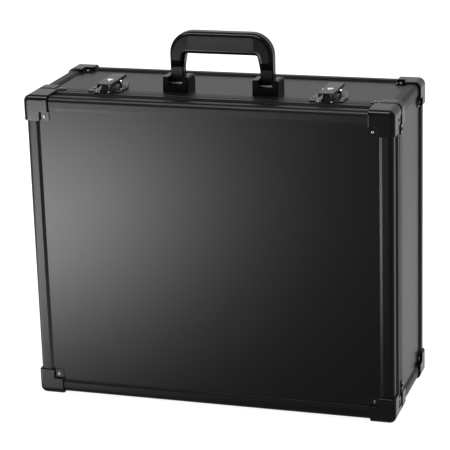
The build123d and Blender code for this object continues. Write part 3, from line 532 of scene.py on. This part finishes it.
class CASE_OT_rivets(bpy.types.Operator):
    """Puts a domed rivet with a hollow middle on each rivet's place"""

    bl_idname = "laptop_case.rivets"
    bl_label = "Rivets"

    def execute(self, context):
        material = steel_finish("rivet_black", (0.06, 0.06, 0.06), 0.3)
        middle = (Vector(CAD_BOX[0]) + Vector(CAD_BOX[1])) / 2
        for node, body in (("lid_rivets", "lid"), ("base_rivets", "base")):
            mesh = bmesh.new()
            for low, high in solids_of(node):
                size = high - low
                axis = min(range(3), key=lambda i: size[i])
                sign = 1 if (low + high)[axis] / 2 > middle[axis] else -1
                out = Vector([sign if i == axis else 0 for i in range(3)])
                seat = (low + high) / 2 - out * size[axis] / 2
                radius, height = max(size) / 2, size[axis]
                place = Matrix.Translation(seat) @ out.to_track_quat("Z", "Y").to_matrix().to_4x4()
                profile = [(r * radius, h * height) for r, h in RIVET_PROFILE]
                bridge_rings(mesh, turned_rings(profile, place, context.scene.case_sizes.rivet_steps))
            bmesh.ops.recalc_face_normals(mesh, faces=mesh.faces)
            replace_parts(piece_from(f"{body}_rivet_heads", mesh, material, body), node)
        return {"FINISHED"}


SCREW_RADIUS, SCREW_HEIGHT = 1.9 * MM, 0.45 * MM
# How far a screw sits in from the leaf's edge and below its middle, and where along the leaf.
SCREW_INSET, SCREW_DROP = 3.2 * MM, 1.2 * MM
SCREW_SHARES = (0.14, 0.5, 0.86)


class CASE_OT_hinges(bpy.types.Operator):
    """Gives the hinges, backing plate and pins their plating and screws the leaves on"""

    bl_idname = "laptop_case.hinges"
    bl_label = "Hinges"

    def execute(self, context):
        material = steel_finish("steel_zinc", (0.42, 0.42, 0.43), 0.3)
        dress("handle_pins", steel_finish("pin_steel", (0.6, 0.6, 0.6), 0.4, 0.5))
        for node in nodes_of("hinge_", "handle_backing", "latch_pins"):
            dress(node, material)
        for body in ("lid", "base"):
            mesh = bmesh.new()
            for side in SIDES:
                low, high = (Vector(corner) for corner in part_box(f"hinge_leaf_{body}_{side}"))
                y = low.y + SCREW_INSET if body == "lid" else high.y - SCREW_INSET
                floor = (low.z + high.z) / 2 - SCREW_DROP
                for share in SCREW_SHARES:
                    spot = Vector((low.x + (high.x - low.x) * share, y, floor))
                    place = Matrix.Translation(spot) @ Matrix.Rotation(math.pi, 4, "X")
                    screw_head(mesh, place, SCREW_RADIUS, SCREW_HEIGHT)
            bmesh.ops.recalc_face_normals(mesh, faces=mesh.faces)
            piece_from(f"{body}_hinge_screws", mesh, material, body, False)
        return {"FINISHED"}


def screw_head(mesh, place, radius, height):
    """Low screw head with a cross recess, standing along the z of its place."""
    steps, cross_reach, core_reach = 24, 0.62, 0.2
    rim, top, inner, floor = [], [], [], []
    for i in range(steps):
        turn = 2 * math.pi * i / steps
        arm = cross_reach if i % (steps // 4) == 0 else core_reach
        aim = Vector((math.cos(turn), math.sin(turn), 0))
        rim.append(place @ (aim * radius))
        top.append(place @ (aim * radius * 0.82 + Vector((0, 0, height))))
        inner.append(place @ (aim * radius * arm + Vector((0, 0, height))))
        floor.append(place @ (aim * radius * arm * 0.6 + Vector((0, 0, height * 0.3))))
    bridge_rings(mesh, [rim, top, inner, floor])


class CASE_OT_handle(bpy.types.Operator):
    """Finishes the handle, its inlays and its brackets"""

    bl_idname = "laptop_case.handle"
    bl_label = "Handle"

    def execute(self, context):
        colours = context.scene.case_colours
        moulding = moulding_finish(tuple(colours.handle))
        for node in nodes_of("handle_grip", "handle_bracket"):
            dress(node, moulding)
        dress("handle_inlays", inlay_finish(tuple(colours.inlay)))
        return {"FINISHED"}


# The ring round a lock: its inner radius, and its section as millimetres outwards and upwards from there.
LOCK_RING_RADIUS = 2.55 * MM
LOCK_RING = ((0, 0), (1.2, 0), (1.05, 0.3), (0.5, 0.42), (0, 0.3))
LOCK_RING_STEPS = 32


class CASE_OT_latches(bpy.types.Operator):
    """Finishes the latches and adds their coiled springs and the locks' rings"""

    bl_idname = "laptop_case.latches"
    bl_label = "Latches"

    def execute(self, context):
        enamel = enamel_finish(tuple(context.scene.case_colours.latch))
        chrome = steel_finish("lock_chrome", (0.85, 0.85, 0.86), 0.15, 0.5)
        steel = steel_finish("spring_steel", (0.42, 0.42, 0.43), 0.25)
        for node in nodes_of("latch_plate", "latch_lever", "latch_claw", "latch_keeper"):
            dress(node, enamel)
        for side in SIDES:
            dress(f"latch_lock_{side}", chrome)
        sizes = context.scene.case_sizes
        mesh = bmesh.new()
        for low, high in solids_of("latch_springs"):
            middle, length, radius = (low + high) / 2, high.x - low.x, (high.z - low.z) / 2
            coil_wire(mesh, middle, length, radius, sizes.spring_wire, sizes.spring_turns)
        bmesh.ops.recalc_face_normals(mesh, faces=mesh.faces)
        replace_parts(piece_from("latch_coil_springs", mesh, steel, "base"), "latch_springs")
        for side in SIDES:
            low, high = (Vector(corner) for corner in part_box(f"latch_lock_{side}"))
            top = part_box(f"latch_lever_{side}")[1][2]
            profile = [(LOCK_RING_RADIUS + out * MM, up * MM) for out, up in LOCK_RING]
            place = Matrix.Translation(((low.x + high.x) / 2, (low.y + high.y) / 2, top))
            ring = bmesh.new()
            rings = turned_rings(profile, place, LOCK_RING_STEPS)
            bridge_rings(ring, rings + rings[:1], False, False)
            bmesh.ops.remove_doubles(ring, verts=ring.verts, dist=1e-7)
            bmesh.ops.recalc_face_normals(ring, faces=ring.faces)
            piece_from(f"lock_ring_{side}", ring, chrome, f"latch_{side}")
        return {"FINISHED"}


def coil_wire(mesh, middle, length, radius, wire, turns):
    """A coil spring along X: one wire wound in even turns with open ends, length long over its wire."""
    steps, sides = turns * 20, 8
    mean, half = radius - wire / 2, wire / 2
    rings = []
    for i in range(steps + 1):
        share = i / steps
        turn = 2 * math.pi * turns * share
        out = Vector((0, math.cos(turn), math.sin(turn)))
        core = middle + out * mean + Vector(((share - 0.5) * (length - wire), 0, 0))
        ring = []
        for k in range(sides):
            bend = 2 * math.pi * k / sides
            ring.append(core + (out * math.cos(bend) + Vector((math.sin(bend), 0, 0))) * half)
        rings.append(ring)
    bridge_rings(mesh, rings)


def rounded_reach(turn, half_x, half_z, radius):
    """How far a rounded rectangle reaches from its middle in a direction, found by halving."""
    aim_x, aim_z = abs(math.cos(turn)), abs(math.sin(turn))
    low, high = 0.0, math.hypot(half_x, half_z)
    for _ in range(40):
        reach = (low + high) / 2
        x, z = aim_x * reach, aim_z * reach
        over_x, over_z = max(x - half_x + radius, 0), max(z - half_z + radius, 0)
        in_corner = x < half_x and z < half_z and math.hypot(over_x, over_z) < radius
        in_cross = (over_x == 0 and z < half_z) or (over_z == 0 and x < half_x)
        low, high = (reach, high) if in_corner or in_cross else (low, reach)
    return low


def mid_turn(i, steps):
    """The angle in the middle of one step of a full turn."""
    return 2 * math.pi * (i + 0.5) / steps


def spot_on(middle, depth, turn, reach):
    """The point at a depth along Y that a reach from the middle gets to in a direction."""
    return Vector((middle.x + math.cos(turn) * reach, depth, middle.z + math.sin(turn) * reach))


FOAM_CORNER = 5 * MM
PAD_STEPS, PAD_RINGS = 360, 60
# The lid foam's peaks grow to their full height over 1 / PAD_FADE of the way in from its edge.
PAD_FADE = 12
BLOCK_STEPS = 720
# The laptop bay's half width and half height, its corners and depth, and the thumb cuts' radius.
BAY_X, BAY_Z, BAY_CORNER, BAY_DEPTH, THUMB = 183 * MM, 138 * MM, 6 * MM, 42 * MM, 24 * MM
# A foam edge is rounded over EASE, by way of a point that lies EASE_MIDDLE in from both faces.
EASE, EASE_MIDDLE = 2 * MM, 0.6 * MM


class CASE_OT_foam(bpy.types.Operator):
    """Makes the lid's peaked foam and the base's foam block with the laptop bay"""

    bl_idname = "laptop_case.foam"
    bl_label = "Foam"

    def execute(self, context):
        material = foam_finish(tuple(context.scene.case_colours.foam))
        sizes = context.scene.case_sizes
        self.lid_pad(material, sizes)
        self.base_block(material)
        return {"FINISHED"}

    def lid_pad(self, material, sizes):
        """The lid's pad: flat against its panel, peaked towards the inside and kept low along its edge."""
        low, high = (Vector(corner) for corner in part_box("lid_foam"))
        middle = (low + high) / 2
        half_x, half_z = (high.x - low.x) / 2, (high.z - low.z) / 2
        turns = [mid_turn(i, PAD_STEPS) for i in range(PAD_STEPS)]
        outline = [(turn, rounded_reach(turn, half_x, half_z, FOAM_CORNER)) for turn in turns]
        rings = []
        for depth in (low.y, high.y - sizes.foam_depth):
            rings.append([spot_on(middle, depth, turn, reach) for turn, reach in outline])
        for k in range(PAD_RINGS - 1, 0, -1):
            share = k / PAD_RINGS
            ring = []
            for turn, reach in outline:
                point = spot_on(middle, high.y, turn, reach * share)
                wave_x = math.cos(2 * math.pi * (point.x - middle.x) / sizes.foam_pitch)
                wave_z = math.cos(2 * math.pi * (point.z - middle.z) / sizes.foam_pitch)
                rise = (wave_x * wave_z + 1) / 2
                edge = min(1.0, (1 - share) * PAD_FADE)
                point.y = high.y - sizes.foam_depth * (1 - rise * edge)
                ring.append(point)
            rings.append(ring)
        mesh = bmesh.new()
        bridge_rings(mesh, rings)
        bmesh.ops.recalc_face_normals(mesh, faces=mesh.faces)
        piece = piece_from("lid_peaked_foam", mesh, material, "lid")
        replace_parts(piece, "lid_foam")
        return piece

    def base_block(self, material):
        """The base's block: rounded edges, the laptop bay sunk into its front and a thumb cut at each end."""
        low, high = (Vector(corner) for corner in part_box("base_foam"))
        middle = (low + high) / 2
        half_x, half_z = (high.x - low.x) / 2, (high.z - low.z) / 2
        turns = [mid_turn(i, BLOCK_STEPS) for i in range(BLOCK_STEPS)]
        outer = [rounded_reach(turn, half_x, half_z, FOAM_CORNER) for turn in turns]
        inner = []
        for turn in turns:
            reach = rounded_reach(turn, BAY_X, BAY_Z, BAY_CORNER)
            offset = abs(math.sin(turn)) * BAY_X
            if offset < THUMB:
                reach = max(reach, abs(math.cos(turn)) * BAY_X + math.sqrt(THUMB**2 - offset**2))
            inner.append(reach)
        front, floor = low.y, low.y + BAY_DEPTH
        rings = []
        outer_edge = ((0.0, high.y), (0.0, front + EASE), (EASE_MIDDLE, front + EASE_MIDDLE), (EASE, front))
        for drop, y in outer_edge:
            rings.append([(reach - drop, y) for reach in outer])
        for share in (0.2, 0.4, 0.6, 0.8):
            rings.append([(far + (near - far) * share, front) for far, near in zip(outer, inner)])
        bay_edge = ((-EASE, front), (-EASE_MIDDLE, front + EASE_MIDDLE), (0.0, front + EASE), (0.0, floor))
        for drop, y in bay_edge:
            rings.append([(reach - drop, y) for reach in inner])
        for share in (0.9, 0.75, 0.5, 0.25, 0.03):
            rings.append([(reach * share, floor) for reach in inner])
        skin = []
        for ring in rings:
            skin.append([spot_on(middle, y, turn, reach) for turn, (reach, y) in zip(turns, ring)])
        mesh = bmesh.new()
        bridge_rings(mesh, skin)
        bmesh.ops.recalc_face_normals(mesh, faces=mesh.faces)
        piece = piece_from("base_foam_block", mesh, material, "base", False)
        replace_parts(piece, "base_foam")
        return piece


# Soft lamps: place, aim, width and height, and power in watts.
LIGHTS = {
    "key_softbox": ((-1.35, -1.5, 0.55), (0, 0, 0.2), (1.2, 1.2), 29.0),
    "back_softbox": ((-1.3, 1.6, 0.9), (0, 0, 0.3), (1.4, 1.0), 14.0),
    "top_softbox": ((0.1, -0.2, 2.2), (0, 0, 0.2), (1.6, 1.6), 16.0),
    "side_softbox": ((1.8, 0.2, 0.8), (0, 0, 0.2), (1.2, 1.2), 14.0),
}

# Two glowing sheets, no lamps, that only reflections see: a strip overhead that paints highlights and a pool
# on the floor that paints a reflection, both painted light on the case. All round them the background shows.
# A sheet is a corner and two sides.
ROOF_SHEET, ROOF_LEVEL = ((-1.9, -1.3, 2.28), (2.6, 0, 0), (0, 0.7, 0)), 45.0
# The glowing pool on the floor, a painted reflection on the case: its middle line slants from one point, and
# it fades out both ways from where it is brightest.
POOL_MIDDLE_X, POOL_SLANT_FROM_Y, POOL_SLANT = -0.58, -0.67, 0.25
POOL_PEAK_Y, POOL_WIDTH, POOL_DEPTH, POOL_LEVEL = -0.86, 0.28, 0.56, 96.0
POOL_SHEET = ((-1.9, -2.3, 0.003), (2.3, 0, 0), (0, 2.2, 0))
WHITE = (1, 1, 1, 1)
FLOOR_HALF = 14.0
FLOOR_COLOUR, FLOOR_GLOW = (0.4, 0.4, 0.4, 1), 0.87
CAMERA_PLACE, CAMERA_AIM = (0.693886, -2.19645, 0.92685), (0.056107, -0.194896, 0.273381)
CAMERA_ROLL, CAMERA_LENS, SENSOR_WIDTH, CAMERA_REACH = -1.7585, 154.2284, 36.0, 60.0


class CASE_OT_studio(bpy.types.Operator):
    """Sets the world, the floor, the lamps, the two glowing sheets that paint reflections on the case, and
    the camera
    """

    bl_idname = "laptop_case.studio"
    bl_label = "Studio"

    def execute(self, context):
        settings = context.scene.studio
        self.world(settings)
        self.floor()
        for name, (place, aim, size, power) in LIGHTS.items():
            self.light(name, place, aim, size, power * settings.level)
        self.painted_highlight_strip()
        self.pool()
        self.camera(context)
        context.scene.view_settings.view_transform = "Standard"
        return {"FINISHED"}

    def world(self, settings):
        """White to the camera, in reflections and through glass; an even dim light on the object."""
        world = bpy.data.worlds.new("studio_world")
        world.use_nodes = True
        sky = Nodes(world.node_tree)
        dim = sky.node("ShaderNodeBackground", None, {"Color": WHITE, "Strength": settings.ambient})
        white = sky.node("ShaderNodeBackground", None, {"Color": WHITE, "Strength": 1.0})
        mixed = sky.node("ShaderNodeMixShader", None, {0: sky.background_rays(), 1: dim, 2: white})
        sky.node("ShaderNodeOutputWorld", None, {"Surface": mixed})
        bpy.context.scene.world = world

    def floor(self):
        """A white floor that keeps the object's shadow and meets the white world without an edge."""
        finish = Finish("studio_floor")
        plain = finish.node("ShaderNodeBsdfDiffuse", None, {"Color": FLOOR_COLOUR})
        glow = finish.node("ShaderNodeEmission", None, {"Color": WHITE, "Strength": FLOOR_GLOW})
        lit = finish.node("ShaderNodeAddShader", None, {0: plain, 1: glow})
        mixed = finish.node("ShaderNodeMixShader", None, {0: finish.background_rays(), 1: plain, 2: lit})
        finish.node("ShaderNodeOutputMaterial", None, {"Surface": mixed})
        corner, side = Vector((-FLOOR_HALF, -FLOOR_HALF, 0)), 2 * FLOOR_HALF
        self.sheet("studio_floor", finish.material, corner, Vector((side, 0, 0)), Vector((0, side, 0)))

    def painted_highlight_strip(self):
        """A glowing strip overhead that only reflections see, painting highlights on the case."""
        finish = Finish("painted_highlight_strip")
        # Painted highlight: this glow is no lamp and shows only in reflections on the case.
        glow = finish.node("ShaderNodeEmission", None, {"Color": WHITE, "Strength": ROOF_LEVEL})
        finish.node("ShaderNodeOutputMaterial", None, {"Surface": glow})
        self.reflected_sheet("painted_highlight_strip", finish.material, ROOF_SHEET)

    def pool(self):
        """A glowing pool on the floor before the case that only reflections see, painting a reflection on the
        case; it fades out to the bare floor all round.
        """
        finish = Finish("painted_reflection_pool")
        x, y = (finish.node("ShaderNodeSeparateXYZ", None, {0: finish.place()}, axis) for axis in "XY")
        wide = (x - POOL_MIDDLE_X - (y - POOL_SLANT_FROM_Y) * POOL_SLANT) / POOL_WIDTH
        deep = (y - POOL_PEAK_Y) / POOL_DEPTH
        fade = finish.math("EXPONENT", (wide * wide + deep * deep) * -1.0)
        clear = finish.node("ShaderNodeBsdfTransparent")
        # Painted reflection: this glow is no lamp and shows only in reflections on the case.
        glow = finish.node("ShaderNodeEmission", None, {"Color": WHITE, "Strength": POOL_LEVEL})
        mixed = finish.node("ShaderNodeMixShader", None, {0: fade, 1: clear, 2: glow})
        finish.node("ShaderNodeOutputMaterial", None, {"Surface": mixed})
        self.reflected_sheet("painted_reflection_pool", finish.material, POOL_SHEET)

    def reflected_sheet(self, name, material, shape):
        """A sheet hidden from everything but reflections."""
        sheet = self.sheet(name, material, *(Vector(value) for value in shape))
        sheet.visible_camera = sheet.visible_diffuse = False
        sheet.visible_shadow = sheet.visible_transmission = False

    def sheet(self, name, material, corner, along, across):
        """A flat sheet of the studio, from one corner and its two sides."""
        data = bpy.data.meshes.new(name)
        corners = [corner, corner + along, corner + along + across, corner + across]
        data.from_pydata(corners, [], [(0, 1, 2, 3)])
        sheet = bpy.data.objects.new(name, data)
        data.materials.append(material)
        bpy.context.scene.collection.objects.link(sheet)
        return sheet

    def light(self, name, place, aim, size, power):
        """A soft lamp that reflections don't show."""
        data = bpy.data.lights.new(name, "AREA")
        data.shape, data.size, data.size_y, data.energy = "RECTANGLE", size[0], size[1], power
        lamp = bpy.data.objects.new(name, data)
        lamp.location = place
        lamp.rotation_euler = (Vector(aim) - Vector(place)).to_track_quat("-Z", "Y").to_euler()
        lamp.visible_glossy = False
        bpy.context.scene.collection.objects.link(lamp)

    def camera(self, context):
        """The camera at its place, aimed and rolled."""
        place, aim = Vector(CAMERA_PLACE), Vector(CAMERA_AIM)
        roll = math.radians(CAMERA_ROLL)
        ahead = (aim - place).normalized()
        level = ahead.cross(Vector((0, 0, 1))).normalized()
        right = level * math.cos(roll) + level.cross(ahead) * math.sin(roll)
        up = right.cross(ahead)
        data = bpy.data.cameras.new("camera")
        data.sensor_width, data.lens, data.clip_end = SENSOR_WIDTH, CAMERA_LENS, CAMERA_REACH
        camera = bpy.data.objects.new("camera", data)
        rotation = Matrix((right, up, -ahead)).transposed().to_4x4()
        camera.matrix_world = Matrix.Translation(place) @ rotation
        context.scene.collection.objects.link(camera)
        context.scene.camera = camera


class CASE_PT_dressing(bpy.types.Panel):
    """Lists the dressing's steps and settings"""

    bl_idname = "CASE_PT_dressing"
    bl_label = "Laptop Case"
    bl_space_type = "VIEW_3D"
    bl_region_type = "UI"
    bl_category = "Laptop Case"

    def draw(self, context):
        layout = self.layout
        for group in (context.scene.case_colours, context.scene.case_sizes, context.scene.studio):
            for name in group.__annotations__:
                layout.prop(group, name)
        for operator in OPERATORS:
            layout.operator(operator.bl_idname)


GROUPS = (("case_colours", CaseColours), ("case_sizes", CaseSizes), ("studio", StudioSettings))
OPERATORS = (
    CASE_OT_panels,
    CASE_OT_extrusions,
    CASE_OT_castings,
    CASE_OT_rivets,
    CASE_OT_hinges,
    CASE_OT_handle,
    CASE_OT_latches,
    CASE_OT_foam,
    CASE_OT_studio,
)


def register():
    for name, group in GROUPS:
        bpy.utils.register_class(group)
        setattr(bpy.types.Scene, name, PointerProperty(type=group))
    for operator in OPERATORS:
        bpy.utils.register_class(operator)
    bpy.utils.register_class(CASE_PT_dressing)


def unregister():
    bpy.utils.unregister_class(CASE_PT_dressing)
    for operator in reversed(OPERATORS):
        bpy.utils.unregister_class(operator)
    for name, group in reversed(GROUPS):
        delattr(bpy.types.Scene, name)
        bpy.utils.unregister_class(group)


def main():
    register()
    bpy.ops.laptop_case.panels()
    bpy.ops.laptop_case.extrusions()
    bpy.ops.laptop_case.castings()
    bpy.ops.laptop_case.rivets()
    bpy.ops.laptop_case.hinges()
    bpy.ops.laptop_case.handle()
    bpy.ops.laptop_case.latches()
    bpy.ops.laptop_case.foam()
    bpy.ops.laptop_case.studio()


if __name__ == "__main__":
    main()
